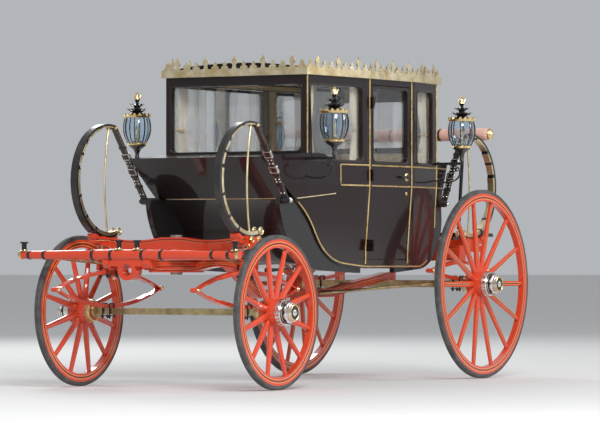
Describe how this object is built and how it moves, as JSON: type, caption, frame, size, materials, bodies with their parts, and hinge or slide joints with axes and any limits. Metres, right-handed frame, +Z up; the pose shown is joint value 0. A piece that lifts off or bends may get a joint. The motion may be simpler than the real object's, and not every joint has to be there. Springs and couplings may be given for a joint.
{
  "type": "horse-drawn glass coach",
  "caption": "Closed horse-drawn coach hung by leather braces from C-springs, over a perch carriage with a turning forecarriage, spoked wheels and opening doors.",
  "frame": {"origin": "on the floor under the middle of the whole coach, at the centre of its bounding box's base", "axes": "+Z up; the coach faces -Y; +X is the coach's left side"},
  "size_m": [1.976, 4.463, 2.3868],
  "materials": {
    "claret_panel": "panels in deep claret coach paint under gloss varnish",
    "black_roof": "gloss black painted roof boards",
    "gilt": "gilded metal and mouldings",
    "window_glass": "clear plate glass",
    "lamp_metal": "lacquered brass and black paint",
    "lamp_pane": "cut clear glass",
    "cream_cloth": "buttoned woven cloth",
    "spring_steel": "black enamel with a pale edge line",
    "black_leather": "polished harness leather",
    "black_iron": "gloss black paint",
    "vermilion_wood": "ash and elm in bright vermilion gloss paint",
    "bare_iron": "forged iron, painted and waxed",
    "brass_cap": "polished brass",
    "tyre_rubber": "solid grey-black rubber",
    "rose_leather": "soft padded leather",
    "cream_wood": "painted seat box"
  },
  "bodies": {
    "coach": {"board_brackets": "black_iron", "body_loops_front": "black_iron", "body_loops_rear": "black_iron", "bow_stays": "gilt", "braces_front": "black_leather", "braces_rear": "black_leather", "c_springs": "spring_steel", "cabin_frame": "gilt", "end_glass": "window_glass", "footboard": "claret_panel", "front_backrest": "cream_cloth", "front_boot": "claret_panel", "front_cushion": "cream_cloth", "front_transom": "vermilion_wood", "lamp_glass": "lamp_pane", "lamps": "lamp_metal", "perch": "vermilion_wood", "perch_stays": "gilt", "quarter_glass": "window_glass", "rear_axle": "bare_iron", "rear_backrest": "cream_cloth", "rear_bed": "vermilion_wood", "rear_boot": "claret_panel", "rear_cushion": "cream_cloth", "rear_roll": "rose_leather", "rear_springs": "spring_steel", "roll_standards": "black_iron", "roof": "black_roof", "roof_gallery": "gilt", "seat_boxes": "cream_wood", "tub": "claret_panel", "turntable_upper": "bare_iron"},
    "forecarriage": {"turntable_lower": "bare_iron", "fore_bed": "vermilion_wood", "futchells": "vermilion_wood", "kingpin": "bare_iron", "splinter_bar": "vermilion_wood", "roller_bolts": "bare_iron", "fore_stays": "bare_iron", "front_springs": "spring_steel", "front_axle": "bare_iron"},
    "left_door": {"door_left": "claret_panel", "door_left_glass": "window_glass", "door_left_handle": "black_iron"},
    "front_left_wheel": {"tyre_front_left": "tyre_rubber", "wheel_front_left": "vermilion_wood", "hub_cap_front_left": "brass_cap"},
    "rear_left_wheel": {"tyre_rear_left": "tyre_rubber", "wheel_rear_left": "vermilion_wood", "hub_cap_rear_left": "brass_cap"},
    "right_door": {"door_right": "claret_panel", "door_right_glass": "window_glass", "door_right_handle": "black_iron"},
    "front_right_wheel": {"tyre_front_right": "tyre_rubber", "wheel_front_right": "vermilion_wood", "hub_cap_front_right": "brass_cap"},
    "rear_right_wheel": {"tyre_rear_right": "tyre_rubber", "wheel_rear_right": "vermilion_wood", "hub_cap_rear_right": "brass_cap"}
  },
  "joints": [
    {"name": "steering", "type": "hinge", "parent": "coach", "child": "forecarriage", "pos_m": [0, -1.5585, 0.95], "axis": [0, 0, 1], "range_deg": [-20, 20]},
    {"name": "front_left_wheel_spin", "type": "hinge", "parent": "forecarriage", "child": "front_left_wheel", "pos_m": [0.83, -1.5585, 0.54], "axis": [1, 0, 0], "continuous": true},
    {"name": "rear_left_wheel_spin", "type": "hinge", "parent": "coach", "child": "rear_left_wheel", "pos_m": [0.83, 1.4415, 0.72], "axis": [1, 0, 0], "continuous": true},
    {"name": "left_door_hinge", "type": "hinge", "parent": "coach", "child": "left_door", "pos_m": [0.674, 0.0515, 1.5], "axis": [0, 0, -1], "range_deg": [0, 85]},
    {"name": "front_right_wheel_spin", "type": "hinge", "parent": "forecarriage", "child": "front_right_wheel", "pos_m": [-0.83, -1.5585, 0.54], "axis": [1, 0, 0], "continuous": true},
    {"name": "rear_right_wheel_spin", "type": "hinge", "parent": "coach", "child": "rear_right_wheel", "pos_m": [-0.83, 1.4415, 0.72], "axis": [1, 0, 0], "continuous": true},
    {"name": "right_door_hinge", "type": "hinge", "parent": "coach", "child": "right_door", "pos_m": [-0.674, 0.0515, 1.5], "axis": [0, 0, 1], "range_deg": [0, 85]}
  ]
}
